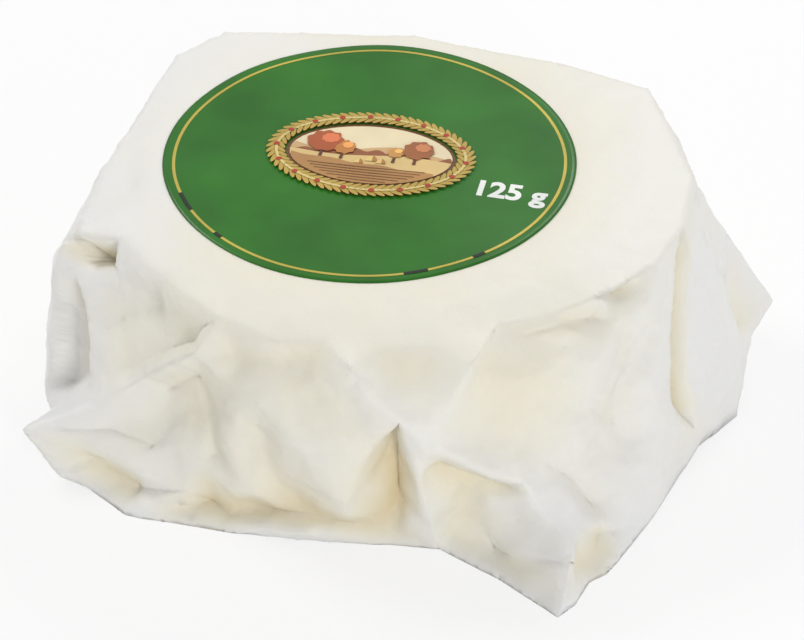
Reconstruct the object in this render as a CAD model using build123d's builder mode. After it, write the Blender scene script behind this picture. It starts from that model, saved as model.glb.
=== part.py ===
"""A round block of churned butter wrapped in one square sheet of greaseproof paper.

The sheet goes over the top of the block, down its side, and is folded flat underneath.
Round the side the paper lies against the butter, and what is left over is gathered
outwards at five places: an ear at each corner of the folded base, and one flap between
two of them.  A round paper label is stuck on the flat top.

Millimetres, +Z up.  The origin is under the middle of the wrapped block, on the table.
"""

import math
import os
from bisect import bisect_right

from build123d import *

# The block, and the paper round it
butter_diameter = 72.0
wrapped_height = 35.0
edge_round = 4.5          # how far the top edge of the block is rounded off
edge_height = 6.0         # the height over which it is rounded

# The label: its distance in from the rounded edge, and where it was stuck, off the block's axis
label_inset = 3.5
label_thickness = 0.2
label_right = -5.5
label_back = 3.0

# How finely each outline follows the paper between two gathers
steps_per_gather = 14

# The gathers, anticlockwise from above.  Each is a line up the side, given from the base to
# the top as (share of the height, bearing in degrees, how far the paper stands off the butter).
gathers = {
    "front_left_ear": [(0.0, -121, 10.5), (0.08, -128, 14.5), (0.23, -133, 18.0), (0.34, -139, 13.0),
                       (0.83, -146, 9.5), (0.92, -145, 7.5), (1.0, -145, 4.0)],
    "front_right_ear": [(0.0, -41.5, 17.0), (0.14, -37, 12.0), (0.37, -41, 4.5), (0.8, -44, 1.0), (1.0, -44, 0.0)],
    "right_flap": [(0.0, 0, 8.0), (0.14, 6, 9.0), (0.5, 8, 7.0), (0.92, 15, 4.0), (1.0, 15, 0.0)],
    "back_right_ear": [(0.0, 40, 10.0), (0.1, 37, 14.5), (0.23, 35, 18.0), (0.45, 44, 12.5),
                       (0.92, 59, 7.0), (1.0, 59, 2.0)],
    "back_left_ear": [(0.0, 134, 10.0), (0.1, 135, 14.0), (0.23, 137, 17.5), (0.45, 144, 12.5),
                      (0.92, 156, 8.5), (1.0, 156, 5.5)],
}

# The pleats between them: ridges stand out and creases go in, each from a start to an end
# as (share of the height, bearing), with its depth and half of its width in degrees.
pleats = [
    {"start": (0.93, -80), "end": (0.2, -50), "depth": 2.2, "half_width": 9},    # ridge down to the front ear
    {"start": (0.66, -70), "end": (0.0, -72), "depth": -2.6, "half_width": 8},   # crease under that ridge
    {"start": (0.94, -106), "end": (0.25, -122), "depth": 2.0, "half_width": 9},  # ridge down to the left ear
    {"start": (0.93, -42), "end": (0.5, -56), "depth": 1.2, "half_width": 8},
    {"start": (0.86, -14), "end": (0.1, -24), "depth": -1.4, "half_width": 8},
    {"start": (0.9, 20), "end": (0.2, 14), "depth": -1.5, "half_width": 7},
    {"start": (0.93, 78), "end": (0.15, 58), "depth": 1.6, "half_width": 9},
    {"start": (0.8, 92), "end": (0.0, 96), "depth": -1.6, "half_width": 9},
    {"start": (0.93, 112), "end": (0.2, 120), "depth": 1.5, "half_width": 9},
    {"start": (0.93, 176), "end": (0.15, 164), "depth": 1.5, "half_width": 9},
    {"start": (0.85, -168), "end": (0.0, -172), "depth": -1.6, "half_width": 9},
]

# The heights, as shares of the whole, where the outline is drawn
levels = [0.0, 0.08, 0.15, 0.23, 0.36, 0.52, 0.68, 0.82, 0.93, 1.0]

butter_radius = butter_diameter / 2
label_radius = butter_radius - edge_round - label_inset


def between(stations, share, column):
    """The value in one column of a gather's stations, at a share of the height."""
    shares = [station[0] for station in stations]
    if share >= shares[-1]:
        return stations[-1][column]
    after = bisect_right(shares, share)
    low, high = stations[after - 1], stations[after]
    part = (share - low[0]) / (high[0] - low[0])
    return low[column] + part * (high[column] - low[column])


def block_radius(share):
    """The bare block's radius, which falls away along an ellipse at the rounded top edge."""
    into_edge = (share * wrapped_height - (wrapped_height - edge_height)) / edge_height
    if into_edge <= 0:
        return butter_radius
    return butter_radius - edge_round * (1 - math.sqrt(max(0.0, 1 - into_edge**2)))


def pleat_relief(share, bearing):
    """How far the pleats stand out, or go in, at this place on the side."""
    relief = 0.0
    for pleat in pleats:
        (top, top_bearing), (foot, foot_bearing) = pleat["start"], pleat["end"]
        if not foot <= share <= top:
            continue
        along = (top - share) / (top - foot)
        crest = top_bearing + along * (foot_bearing - top_bearing)
        aside = abs((bearing - crest + 180) % 360 - 180)
        fade = math.sin(math.pi * min(1.0, 0.25 + 0.75 * along))
        relief += pleat["depth"] * max(0.0, 1 - aside / pleat["half_width"]) * fade
    return relief


def paper_radius(share, bearing, corners):
    """The paper goes round the block, and straight from it out to each gather and back."""
    radius = block_radius(share)
    reach = radius
    for corner_bearing, stand_off in corners:
        corner_reach = butter_radius + stand_off
        if corner_reach <= radius:
            continue
        tangent_angle = math.acos(radius / corner_reach)
        aside = math.radians(abs((bearing - corner_bearing + 180) % 360 - 180))
        if aside < tangent_angle:
            reach = max(reach, radius / math.cos(tangent_angle - aside))
    return reach + pleat_relief(share, bearing)


def paper_outline(share):
    """The corners of the paper's outline at a share of the height, round the block's axis."""
    corners = [(between(g, share, 1), between(g, share, 2)) for g in gathers.values()]
    points = []
    for number, (bearing, _) in enumerate(corners):
        next_bearing = corners[(number + 1) % len(corners)][0]
        turn = (next_bearing - bearing) % 360
        for step in range(steps_per_gather):
            here = bearing + turn * step / steps_per_gather
            reach = paper_radius(share, here, corners)
            points.append((reach * math.cos(math.radians(here)), reach * math.sin(math.radians(here))))
    return points


# The origin is under the middle of the paper's widest outline
outlines = {share: paper_outline(share) for share in levels}
across = [x for outline in outlines.values() for x, _ in outline]
along = [y for outline in outlines.values() for _, y in outline]
axis_x = -(min(across) + max(across)) / 2
axis_y = -(min(along) + max(along)) / 2

# The wrapped block: one solid, as the shut paper can't be seen into.  The sheet bends along
# straight lines, so each step of it is two flat triangles, split along the shorter diagonal.
rings = []
for share, outline in outlines.items():
    rings.append([Vector(x + axis_x, y + axis_y, share * wrapped_height) for x, y in outline])
facets = [Face(Wire.make_polygon(rings[0])), Face(Wire.make_polygon(rings[-1]))]
for lower, upper in zip(rings, rings[1:]):
    for here in range(len(lower)):
        after = (here + 1) % len(lower)
        corners = [lower[here], lower[after], upper[after], upper[here]]
        if (corners[0] - corners[2]).length > (corners[1] - corners[3]).length:
            corners = corners[1:] + corners[:1]
        facets.append(Face(Wire.make_polygon([corners[0], corners[1], corners[2]])))
        facets.append(Face(Wire.make_polygon([corners[0], corners[2], corners[3]])))
with BuildPart() as wrap:
    add(Solid(Shell(facets)))
wrap.part.label = "wrap"

# The label, stuck on the flat top
with BuildPart() as label:
    with BuildSketch(Plane.XY.offset(wrapped_height)):
        with Locations((axis_x + label_right, axis_y + label_back)):
            Circle(label_radius)
    extrude(amount=label_thickness)
label.part.label = "label"

os.makedirs("parts", exist_ok=True)
export_step(wrap.part, "parts/wrap.step")
export_step(label.part, "parts/label.step")
print("block axis", round(axis_x, 2), round(axis_y, 2), "wrap volume", round(wrap.part.volume))
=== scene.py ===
"""A round block of churned butter wrapped in greaseproof paper, with a round paper label on top."""
import math

import bpy
import numpy as np
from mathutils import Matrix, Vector, kdtree, noise
from mathutils.geometry import delaunay_2d_cdt


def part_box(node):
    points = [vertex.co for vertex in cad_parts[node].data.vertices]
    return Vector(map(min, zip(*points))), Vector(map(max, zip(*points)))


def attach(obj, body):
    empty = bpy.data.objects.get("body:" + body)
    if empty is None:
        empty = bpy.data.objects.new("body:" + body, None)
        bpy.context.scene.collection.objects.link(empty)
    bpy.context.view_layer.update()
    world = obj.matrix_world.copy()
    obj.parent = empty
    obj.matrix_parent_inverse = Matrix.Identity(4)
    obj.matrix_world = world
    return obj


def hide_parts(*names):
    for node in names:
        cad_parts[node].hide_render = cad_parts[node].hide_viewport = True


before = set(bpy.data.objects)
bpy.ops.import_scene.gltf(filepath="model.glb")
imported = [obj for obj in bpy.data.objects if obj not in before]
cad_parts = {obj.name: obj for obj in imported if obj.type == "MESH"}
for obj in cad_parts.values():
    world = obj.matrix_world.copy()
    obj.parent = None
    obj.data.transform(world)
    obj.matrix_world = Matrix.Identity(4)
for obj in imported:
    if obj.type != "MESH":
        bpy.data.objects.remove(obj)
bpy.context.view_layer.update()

# ---------------------------------------------------------------------------------------------
# The greaseproof paper.  One square sheet goes over the top of the butter and is folded down
# round it.  The folds run between the places where they meet, its knuckles, and the paper
# is taut and a little crumpled between them.  Where it lies on the butter it looks cream, and the
# bottoms of deep creases are painted a darker ochre as shade.

MM = 0.001
label_low, label_high = (Vector(corner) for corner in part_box("label"))
wrap_high = Vector(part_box("wrap")[1])
block_height = wrap_high.z / MM
block_radius = 36.0
label_radius = (label_high.x - label_low.x) / 2 / MM
label_right, label_back = -5.5, 3.0       # the label's middle, from the block's axis
block_axis = (label_low + label_high) / 2 / MM - Vector((label_right, label_back, 0))
block_axis.z = 0.0

# Each knuckle is (right, back, up) in millimetres from the foot of the block's axis, and how
# much of the butter shows there together with painted shade: 0 is paper alone, 1 is butter right
# behind it, and 2 is the bottom of a deep crease, painted a darker ochre as shade where the light
# comes through the butter.
knuckles = {
    "rim left notch": (-35.5, -24.5, 31.0, 0.1),
    "rim left lip": (-29.0, -25.0, 32.5, 0.2),
    "rim left slope": (-19.0, -31.0, 32.5, 0.5),
    "rim left knuckle": (-9.0, -35.5, 33.0, 0.6),
    "rim front a": (0.0, -36.5, 32.5, 0.6),
    "rim front knuckle": (6.0, -33.0, 33.0, 0.6),
    "rim front b": (11.5, -32.5, 32.5, 0.6),
    "rim front c": (18.5, -28.0, 32.5, 0.6),
    "rim right knuckle": (24.0, -20.5, 32.5, 0.55),
    "rim right a": (28.5, -16.0, 32.0, 0.5),
    "rim right lip": (33.0, -10.5, 32.5, 0.5),
    "rim right pinch": (36.0, -5.5, 32.5, 0.4),
    "rim right b": (37.5, 1.5, 32.0, 0.3),
    "rim slit": (37.5, 10.0, 32.0, 0.3),
    "rim right c": (34.5, 21.0, 32.5, 0.3),
    "rim back right": (21.5, 37.0, 33.5, 0.35),
    "rim back a": (9.0, 36.5, 34.5, 0.5),
    "rim back b": (-13.0, 33.5, 35.0, 0.5),
    "rim back c": (-28.0, 27.5, 35.0, 0.4),
    "rim back left": (-38.0, 23.0, 35.0, 0.2),
    "rim left corner": (-42.0, 16.0, 34.0, 0.15),
    "rim left a": (-41.0, 6.5, 33.5, 0.15),
    "rim left b": (-39.5, -6.0, 33.0, 0.2),
    "tube top": (-38.0, -25.0, 29.0, 0.1),
    "tube shoulder": (-34.5, -25.5, 27.0, 0.2),
    "tube left": (-39.0, -26.0, 24.5, 0.1),
    "tube edge high": (-39.5, -26.0, 18.5, 0.1),
    "tube edge low": (-40.0, -27.5, 8.5, 0.1),
    "tube corner": (-40.5, -27.5, 5.0, 0.1),
    "tube foot": (-37.0, -31.5, 5.0, 0.1),
    "tube dip high": (-35.75, -23.75, 18.5, 0.25),
    "tube dip low": (-35.75, -25.75, 7.0, 0.2),
    "tube ridge high": (-34.25, -27.0, 25.0, 0.1),
    "tube ridge mid": (-33.0, -28.0, 19.0, 0.1),
    "tube ridge low": (-31.5, -30.0, 10.5, 0.1),
    "tube groove high": (-31.0, -24.25, 22.5, 0.9),
    "tube groove low": (-30.0, -26.25, 14.5, 0.9),
    "notch deep": (-30.5, -22.25, 26.5, 1.9),
    "notch side": (-34.25, -22.5, 29.0, 1.3),
    "notch lip": (-28.0, -27.0, 29.0, 0.2),
    "slope a": (-27.0, -28.0, 22.0, 0.6),
    "dent left": (-20.5, -27.75, 26.5, 0.6),
    "slope b": (-19.5, -30.5, 24.5, 0.6),
    "slope c": (-27.0, -31.5, 17.5, 0.4),
    "tuck high": (-13.75, -32.75, 26.0, 0.8),
    "tuck low": (-24.5, -31.25, 17.0, 0.7),
    "ridge left high": (-12.25, -36.25, 26.75, 0.4),
    "ridge left mid": (-21.5, -33.25, 17.75, 0.3),
    "ridge left low": (-28.5, -34.75, 11.75, 0.1),
    "ridge left end": (-33.5, -37.5, 9.0, 0.05),
    "under tuck high": (-12.75, -32.75, 21.0, 0.8),
    "under tuck low": (-18.25, -31.0, 15.5, 0.7),
    "ear left tip": (-37.0, -39.5, 8.0, 0.05),
    "ear left gap in": (-27.5, -36.25, 4.5, 1.2),
    "ear left foot": (-32.0, -39.0, 1.5, 0.1),
    "ear left crease a": (-31.5, -36.75, 8.0, 0.3),
    "ear left crease b": (-26.0, -34.75, 8.5, 0.3),
    "ear left crease c": (-19.75, -34.5, 7.5, 0.6),
    "ear left panel": (-27.5, -37.5, 6.0, 0.15),
    "panel left bulge": (-18.5, -34.0, 8.5, 0.4),
    "panel left light": (-12.0, -36.5, 9.0, 0.35),
    "panel left hollow": (-19.0, -32.0, 11.5, 0.6),
    "fold left light": (-20.5, -38.0, 5.5, 0.15),
    "under gap a": (-25.75, -36.25, 3.0, 1.3),
    "under gap b": (-20.5, -36.25, 1.5, 1.3),
    "under lobe a": (-20.0, -37.0, 2.0, 0.2),
    "under lobe b": (-19.0, -40.5, 1.5, 0.15),
    "under slit a": (-16.0, -39.5, 1.0, 0.9),
    "under slit b": (-11.0, -34.5, 1.5, 1.7),
    "under slit c": (-14.0, -37.0, 3.5, 0.4),
    "under slit lip": (-14.0, -39.0, 2.5, 0.15),
    "foot left a": (-26.0, -39.0, 0.0, 0.1),
    "foot left b": (-21.0, -41.0, 0.0, 0.1),
    "foot left c": (-15.5, -40.0, 0.0, 0.1),
    "foot front a": (-7.5, -38.5, 0.0, 0.1),
    "foot front b": (2.0, -35.5, 0.0, 0.1),
    "foot front c": (12.5, -32.0, 0.0, 0.15),
    "foot front d": (20.0, -29.5, 0.0, 0.15),
    "hem a": (-7.75, -36.0, 1.0, 1.5),
    "hem b": (-4.25, -34.0, 2.5, 1.5),
    "hem c": (2.75, -34.0, 3.5, 1.5),
    "hem d": (12.0, -31.0, 2.5, 1.5),
    "hem lip a": (-3.0, -37.5, 1.75, 0.1),
    "hem lip b": (4.0, -37.0, 2.75, 0.1),
    "panel top a": (-6.75, -34.25, 27.5, 0.8),
    "panel top b": (0.0, -34.75, 29.5, 0.8),
    "panel top c": (5.0, -34.25, 31.5, 0.9),
    "panel a": (-6.5, -36.0, 23.5, 0.7),
    "panel b": (3.0, -36.5, 26.0, 0.75),
    "panel c": (9.5, -36.0, 22.0, 0.7),
    "dip a": (-11.25, -33.25, 15.0, 0.8),
    "dip b": (-10.25, -33.75, 9.0, 0.8),
    "arch a": (-7.5, -37.0, 14.0, 0.5),
    "arch b": (-5.5, -37.5, 20.0, 0.5),
    "arch c": (-2.0, -38.0, 23.0, 0.5),
    "arch d": (1.0, -38.0, 21.0, 0.5),
    "arch e": (1.0, -37.5, 15.5, 0.6),
    "arch dip a": (-3.0, -35.25, 17.0, 0.8),
    "arch dip b": (-2.0, -34.75, 10.0, 0.85),
    "bump a": (4.5, -38.0, 18.0, 0.4),
    "bump b": (8.0, -37.5, 12.5, 0.5),
    "dip c": (4.0, -35.75, 9.0, 0.7),
    "panel foot a": (-5.0, -37.0, 6.5, 0.5),
    "panel edge a": (13.0, -35.0, 19.5, 0.6),
    "panel edge b": (10.0, -36.0, 11.0, 0.6),
    "panel edge c": (9.0, -35.5, 6.5, 0.6),
    "apex": (17.0, -35.75, 25.0, 0.2),
    "valley top": (14.5, -31.0, 21.0, 1.5),
    "valley left a": (13.0, -31.0, 16.0, 1.5),
    "valley left b": (11.75, -32.0, 11.0, 1.0),
    "valley a": (14.0, -29.5, 13.0, 1.7),
    "valley b": (14.0, -29.0, 6.5, 1.8),
    "valley foot": (13.5, -30.5, 1.5, 1.0),
    "valley chip": (15.5, -31.5, 4.5, 0.5),
    "rib a": (16.75, -34.25, 21.5, 0.3),
    "rib b": (18.5, -33.25, 14.0, 0.3),
    "rib c": (19.0, -31.75, 8.0, 0.2),
    "ridge a": (10.25, -36.75, 32.25, 0.4),
    "ridge b": (13.75, -36.25, 28.25, 0.3),
    "ridge c": (20.75, -33.5, 20.25, 0.2),
    "ridge d": (25.25, -31.5, 17.25, 0.15),
    "ridge e": (28.75, -29.25, 14.75, 0.15),
    "ridge f": (31.0, -27.75, 13.75, 0.1),
    "hollow a": (13.25, -31.75, 31.5, 0.9),
    "hollow b": (18.0, -29.25, 31.0, 0.9),
    "panel d": (16.5, -33.0, 28.0, 0.6),
    "recess a": (19.0, -28.75, 14.5, 1.3),
    "recess b": (23.25, -26.25, 11.5, 1.3),
    "recess c": (27.25, -24.75, 10.5, 1.2),
    "recess d": (21.75, -26.25, 5.0, 0.95),
    "recess lip": (26.0, -27.0, 8.5, 0.3),
    "recess fold a": (24.5, -26.5, 4.0, 0.7),
    "recess point": (26.5, -26.5, 0.5, 0.6),
    "recess foot": (20.5, -27.25, 1.5, 0.8),
    "facet ridge a": (31.5, -26.5, 10.5, 0.1),
    "facet ridge b": (34.5, -26.5, 7.0, 0.1),
    "ear right crest": (38.5, -28.5, 5.0, 0.05),
    "facet dip a": (28.75, -25.25, 5.5, 0.3),
    "facet dip b": (33.25, -25.0, 2.5, 0.2),
    "facet lip a": (28.5, -28.5, 1.5, 0.1),
    "facet lip b": (37.0, -29.25, 3.5, 0.1),
    "facet gap a": (28.0, -27.5, 1.0, 1.2),
    "facet gap b": (36.25, -27.0, 2.0, 1.2),
    "ear right edge": (30.0, -32.0, 0.0, 0.05),
    "ear right tip": (39.5, -35.5, 0.0, 0.05),
    "ear right stripe": (40.5, -32.5, 0.5, 0.05),
    "ear right side": (40.5, -27.5, 0.0, 0.05),
    "ear right back": (42.0, -25.0, 0.0, 0.1),
    "loop a": (37.0, -22.5, 4.5, 0.1),
    "loop b": (39.0, -19.5, 3.5, 0.1),
    "loop c": (40.0, -18.5, 1.5, 0.1),
    "loop gap a": (38.5, -19.75, 2.0, 1.2),
    "loop gap b": (40.0, -25.0, 0.5, 1.2),
    "loop side": (42.5, -22.0, 1.0, 0.15),
    "soft ridge a": (24.5, -29.0, 32.0, 0.4),
    "soft ridge b": (22.5, -31.0, 27.0, 0.4),
    "soft ridge c": (21.5, -32.0, 23.5, 0.35),
    "beside ridge a": (25.75, -23.75, 33.0, 0.8),
    "beside ridge b": (23.75, -26.75, 29.0, 0.8),
    "beside ridge c": (22.5, -29.5, 23.5, 0.7),
    "panel e": (29.0, -23.0, 26.5, 0.85),
    "panel f": (27.5, -26.0, 20.5, 0.8),
    "panel g": (25.0, -28.5, 18.5, 0.5),
    "lip under a": (27.0, -19.25, 30.5, 0.8),
    "lip under b": (31.0, -14.0, 30.5, 0.9),
    "lip under c": (32.75, -10.75, 29.5, 0.8),
    "lip under d": (36.0, -9.5, 29.0, 0.5),
    "pinch deep": (32.75, -4.25, 30.5, 0.9),
    "lip crinkle": (34.0, -9.5, 32.0, 0.3),
    "cushion a": (36.0, -15.75, 27.0, 0.3),
    "cushion b": (36.0, -16.75, 21.5, 0.3),
    "seam a": (36.75, -7.25, 20.5, 0.4),
    "seam b": (36.25, -9.75, 18.0, 0.5),
    "seam c": (36.25, -11.25, 13.5, 0.4),
    "panel h": (32.5, -18.0, 29.5, 0.6),
    "panel i": (32.0, -20.0, 22.0, 0.7),
    "dip d": (34.0, -17.0, 19.5, 0.5),
    "cushion c": (35.5, -19.25, 16.5, 0.25),
    "crease a": (31.75, -22.0, 13.0, 0.4),
    "crease b": (34.25, -19.0, 9.0, 0.4),
    "crease c": (36.0, -17.5, 4.5, 0.4),
    "side a": (40.0, -14.5, 7.5, 0.15),
    "side b": (41.5, -10.0, 7.5, 0.15),
    "side c": (36.0, -22.5, 7.5, 0.1),
    "flap a": (38.5, -4.0, 29.5, 0.25),
    "flap b": (40.0, -6.5, 19.5, 0.2),
    "flap c": (41.5, -7.0, 11.0, 0.2),
    "slit lip a": (38.0, 6.5, 30.5, 0.2),
    "slit lip b": (39.0, 3.0, 25.0, 0.2),
    "slit lip c": (40.5, -0.5, 14.5, 0.2),
    "slit lip d": (41.0, -1.0, 11.0, 0.2),
    "slit a": (34.75, 7.25, 29.5, 2.0),
    "slit b": (35.5, 3.75, 24.0, 2.0),
    "slit c": (37.0, 0.75, 13.5, 2.0),
    "slit d": (39.0, 0.75, 8.5, 2.0),
    "slit end": (43.5, 2.0, 5.5, 0.4),
    "slit edge a": (39.0, 8.5, 29.5, 0.1),
    "slit edge b": (40.0, 5.5, 23.5, 0.1),
    "slit edge c": (41.5, 2.0, 13.5, 0.1),
    "slit edge d": (43.0, 2.5, 8.5, 0.1),
    "wing a": (39.0, 13.5, 28.0, 0.1),
    "wing b": (40.0, 16.0, 22.0, 0.1),
    "wing c": (42.5, 8.5, 15.0, 0.1),
    "wing corner": (41.0, 16.5, 20.5, 0.1),
    "wing edge a": (45.0, 16.0, 9.0, 0.1),
    "wing edge b": (45.5, 13.5, 3.0, 0.1),
    "ear back right tip": (44.0, 30.5, 8.0, 0.05),
    "ear back right edge": (43.5, 24.5, 7.0, 0.1),
    "ear back right dip": (40.25, 21.75, 8.0, 0.9),
    "foot right a": (43.0, -12.5, 0.5, 0.1),
    "foot right b": (43.0, 5.0, 1.0, 0.1),
    # the left side and the ear at the back left
    "left wall high a": (-41.0, -9.0, 22.0, 0.3),
    "left wall low a": (-39.5, -10.0, 9.0, 0.5),
    "left fold high": (-43.0, 5.0, 25.0, 0.1),
    "left fold low": (-42.0, 3.0, 8.0, 0.1),
    "left crease high": (-38.5, 0.5, 24.0, 1.2),
    "left crease low": (-37.5, -1.5, 8.0, 1.2),
    "tube back high": (-41.5, -20.0, 24.0, 0.1),
    "tube back low": (-43.0, -22.0, 8.0, 0.1),
    "tube behind high": (-38.5, -16.0, 22.0, 0.9),
    "tube behind low": (-38.5, -17.5, 8.0, 0.9),
    "left panel high": (-41.0, 15.0, 23.0, 0.2),
    "left panel low": (-38.5, 14.0, 9.0, 0.6),
    "back left ridge high": (-42.5, 21.5, 26.0, 0.1),
    "back left ridge mid": (-42.0, 27.5, 17.0, 0.1),
    "back left ear crease a": (-41.5, 26.0, 10.0, 0.6),
    "back left ear crease b": (-38.0, 18.0, 6.5, 0.9),
    "back left tip": (-39.5, 36.5, 8.0, 0.0),
    "back left under": (-35.5, 35.5, 3.0, 0.5),
    "back left crest high": (-33.0, 31.0, 25.0, 0.2),
    "back left crest low": (-34.5, 34.0, 15.0, 0.1),
    "back left tuck high": (-28.5, 31.0, 22.0, 0.9),
    "back left tuck low": (-27.0, 33.5, 10.0, 0.9),
    # the back
    "back ridge a": (-19.5, 34.5, 27.0, 0.3),
    "back ridge b": (-24.0, 36.5, 17.0, 0.2),
    "back ridge c": (-29.0, 37.5, 9.0, 0.1),
    "back panel a": (-13.0, 34.5, 24.0, 0.7),
    "back panel b": (-14.0, 36.5, 10.0, 0.5),
    "back apex": (-3.0, 37.5, 26.5, 0.2),
    "back valley high": (-3.5, 35.0, 22.0, 1.6),
    "back valley low": (-4.5, 34.0, 8.0, 1.8),
    "back rib left": (-6.5, 36.8, 14.0, 0.3),
    "back rib right": (0.0, 37.0, 13.0, 0.3),
    "back crest a": (-8.5, 35.5, 31.0, 0.4),
    "back crest b": (6.5, 37.8, 22.5, 0.2),
    "back crest c": (17.5, 38.5, 17.5, 0.1),
    "back crest d": (28.5, 36.5, 13.0, 0.1),
    "back recess a": (8.0, 35.0, 17.0, 1.3),
    "back recess b": (19.0, 33.5, 10.5, 1.4),
    "back recess c": (28.5, 31.5, 7.5, 1.0),
    "back panel c": (9.0, 37.0, 28.5, 0.6),
    "back panel d": (20.5, 36.5, 25.0, 0.3),
    "back lip": (12.0, 36.5, 7.5, 0.3),
    # the ear at the back right, behind the wing
    "back right ridge a": (28.5, 33.5, 24.5, 0.2),
    "back right ridge b": (36.0, 31.5, 16.5, 0.1),
    "back right dip a": (34.5, 25.0, 24.0, 0.4),
    "back right dip b": (39.0, 22.5, 15.0, 0.5),
    "back right under a": (36.5, 30.5, 3.0, 0.5),
    # along the table, at the left, the back and the right
    "foot ear left a": (-31.0, -36.5, 0.0, 0.1),
    "foot ear left b": (-35.5, -31.0, 0.0, 0.1),
    "foot side a": (-40.0, -23.5, 0.0, 0.1),
    "foot side b": (-38.0, -11.0, 0.0, 0.2),
    "foot side c": (-39.0, 2.0, 0.0, 0.1),
    "foot side d": (-37.5, 15.0, 0.0, 0.2),
    "foot side e": (-38.0, 27.0, 0.0, 0.1),
    "foot back left": (-34.5, 34.0, 0.0, 0.1),
    "foot back a": (-25.0, 36.5, 0.0, 0.1),
    "foot back b": (-14.0, 37.0, 0.0, 0.1),
    "foot back c": (-4.5, 35.0, 0.0, 0.3),
    "foot back d": (4.0, 37.0, 0.0, 0.1),
    "foot back e": (18.0, 36.5, 0.0, 0.1),
    "foot back f": (28.0, 34.0, 0.0, 0.1),
    "foot back right": (37.5, 30.0, 0.0, 0.1),
    "foot right c": (42.5, 20.0, 0.0, 0.1),
}

# The folds, each as how sharply it was pressed and the knuckles it runs through.
folds = [
    (0.5, "rim left b, rim left notch, rim left lip"),
    (0.1, "rim left lip, rim left slope, rim left knuckle, rim front a, rim front knuckle"),
    (0.1, "rim front knuckle, rim front b, rim front c, rim right knuckle"),
    (0.8, "rim right knuckle, rim right a, rim right lip, rim right pinch"),
    (0.3, "rim right pinch, rim right b, rim slit, rim right c, rim back right"),
    (0.4, "rim back right, rim back a, rim back b, rim back c, rim back left"),
    (0.3, "rim back left, rim left corner, rim left a, rim left b"),
    # the notch and the tube of paper at the left
    (1.0, "rim left notch, notch side, notch deep, rim left lip"),
    (0.6, "notch deep, notch lip, slope a"),
    (0.7, "tube top, tube shoulder, tube ridge high, tube ridge mid, tube ridge low"),
    (0.6, "tube top, tube left, tube edge high, tube edge low, tube corner"),
    (0.4, "tube left, tube shoulder, notch deep"),
    (0.4, "tube dip high, tube dip low"),
    (0.8, "tube groove high, tube groove low"),
    (0.8, "tube corner, tube foot, ear left tip"),
    # the ridge from the left knuckle to the left ear, and the ear's open end
    (0.9, "rim left knuckle, ridge left high, ridge left mid, ridge left low, ridge left end, ear left tip"),
    (0.8, "rim left knuckle, tuck high, tuck low"),
    (0.6, "under tuck high, under tuck low"),
    (0.8, "ear left crease a, ear left crease b, ear left crease c"),
    (0.9, "ear left tip, ear left gap in, ear left foot"),
    (0.9, "ear left tip, ear left foot"),
    (1.0, "under gap a, under gap b"),
    (0.7, "ear left gap in, fold left light, under lobe a, under slit c"),
    (0.9, "under slit c, under slit b, hem a"),
    (1.0, "under slit a, under slit b"),
    (0.8, "under slit lip, under slit c"),
    (0.9, "hem a, hem b, hem c, hem d, valley foot"),
    (0.8, "foot front a, hem lip a, hem lip b"),
    # the ridge from the front knuckle to the right ear, and what hangs under it
    (1.0, "rim front knuckle, ridge a, ridge b, apex, ridge c, ridge d, ridge e, ridge f"),
    (1.0, "ridge f, facet ridge a, facet ridge b, ear right crest, ear right tip"),
    (1.0, "apex, valley top, valley a, valley b, valley foot"),
    (0.5, "valley top, valley left a, valley left b"),
    (0.9, "apex, rib a, rib b, rib c, foot front d"),
    (0.3, "apex, panel edge a, panel edge b, panel edge c"),
    (0.8, "recess a, recess b, recess c"),
    (1.0, "recess lip, recess fold a, recess point"),
    (1.0, "recess point, facet lip a, facet lip b, ear right crest"),
    (1.0, "ear right crest, ear right stripe"),
    (1.0, "loop a, loop b, loop c, loop side"),
    (1.0, "loop b, loop gap a, loop gap b"),
    # the big panel at the right, the slit and the wing beside it
    (0.15, "rim right knuckle, soft ridge a, soft ridge b, soft ridge c, ridge c"),
    (0.8, "rim right knuckle, lip under a, lip under b, lip under c, lip under d"),
    (0.8, "rim right lip, lip crinkle, lip under c"),
    (0.9, "rim right lip, pinch deep, rim right pinch"),
    (0.4, "seam a, seam b, seam c"),
    (0.5, "crease a, crease b, crease c"),
    (1.0, "rim slit, slit a, slit b, slit c, slit d, slit end"),
    (0.8, "rim slit, slit lip a, slit lip b, slit lip c, slit lip d, slit end"),
    (0.9, "rim slit, slit edge a, slit edge b, slit edge c, slit edge d, slit end"),
    (0.8, "rim right c, wing a, wing b, wing corner, wing edge a, wing edge b"),
    (0.9, "wing corner, back right ridge b, ear back right tip"),
    (0.9, "ear back right tip, ear back right edge"),
    # the left side and the back
    (0.5, "rim left a, left fold high, left fold low"),
    (0.9, "rim left b, left crease high, left crease low"),
    (0.6, "rim left notch, tube back high, tube back low"),
    (0.8, "tube behind high, tube behind low"),
    (0.8, "rim left corner, back left ridge high, back left ridge mid, back left tip"),
    (0.7, "back left ear crease a, back left ear crease b"),
    (0.8, "rim back left, back left crest high, back left crest low, back left tip"),
    (0.9, "rim back c, back left tuck high, back left tuck low"),
    (0.8, "rim back b, back ridge a, back ridge b, back ridge c"),
    (1.0, "rim back b, back crest a, back apex, back crest b, back crest c, back crest d, "
          "ear back right tip"),
    (1.0, "back apex, back valley high, back valley low, foot back c"),
    (0.8, "back apex, back rib left, foot back b"),
    (0.8, "back apex, back rib right, foot back d"),
    (0.8, "back recess a, back recess b, back recess c"),
    (0.7, "rim back right, back right ridge a, back right ridge b"),
    (0.5, "rim back a, back crest b"),
]

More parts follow.
